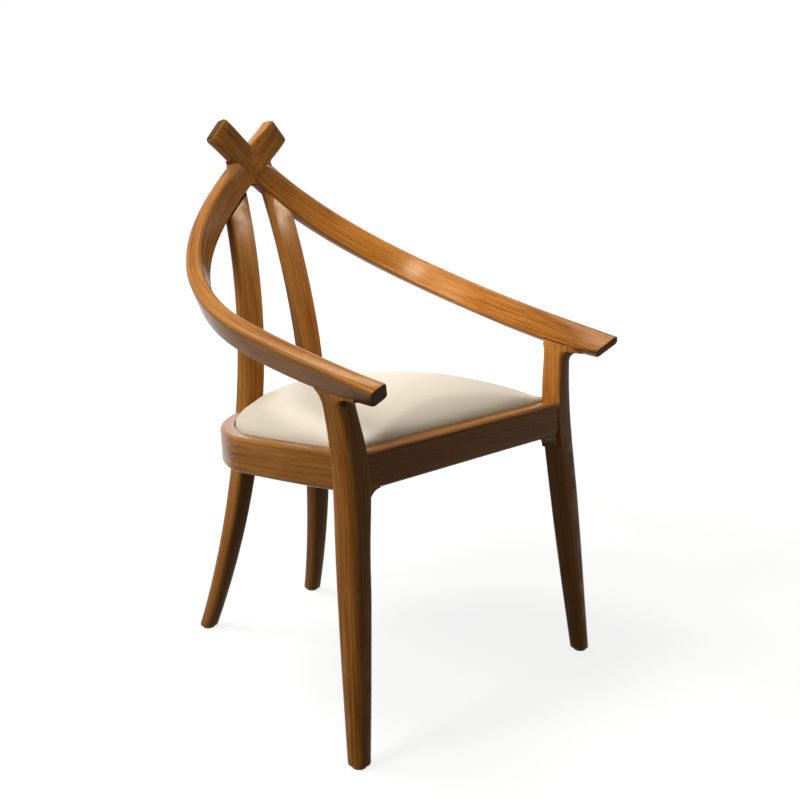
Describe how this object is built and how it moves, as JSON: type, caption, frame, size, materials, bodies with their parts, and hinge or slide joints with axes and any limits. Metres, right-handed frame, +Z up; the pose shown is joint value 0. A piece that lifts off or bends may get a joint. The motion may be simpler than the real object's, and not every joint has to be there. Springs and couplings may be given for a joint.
{
  "type": "armchair",
  "caption": "Wooden armchair whose bent arm bows sweep up round the back and cross at the crest, with splayed legs, curved rear posts and a crowned leather seat pad.",
  "frame": {"origin": "on the floor under the middle of the chair's outer box", "axes": "+Z up, the chair faces -Y, +X to the sitter's left"},
  "size_m": [0.5582, 0.5948, 0.8713],
  "materials": {
    "walnut": "semi-gloss lacquer over brown stained hardwood, grain along each piece",
    "cream_leather": "smooth cream leather with a fine grain, satin",
    "foam": "open-cell cushion foam",
    "plywood": "unfinished plywood",
    "lining": "black non-woven lining",
    "beech": "unfinished beech",
    "steel": "zinc-plated screws",
    "glide_nylon": "dark brown nylon"
  },
  "bodies": {
    "root": {"arm_bow_left": "walnut", "arm_bow_right": "walnut", "front_leg_left": "walnut", "front_leg_right": "walnut", "rear_post_left": "walnut", "rear_post_right": "walnut", "front_rail": "walnut", "side_rail_left": "walnut", "side_rail_right": "walnut", "back_rail": "walnut", "seat_cover": "cream_leather", "seat_foam": "foam", "seat_board": "plywood", "dust_cloth": "lining", "ring_tenons": "beech", "corner_block_front_left": "beech", "corner_block_front_right": "beech", "corner_block_rear_left": "beech", "corner_block_rear_right": "beech", "block_screws": "steel", "seat_screws": "steel", "post_screws": "steel", "glide_front_left": "glide_nylon", "glide_front_right": "glide_nylon", "glide_rear_left": "glide_nylon", "glide_rear_right": "glide_nylon"}
  },
  "joints": []
}
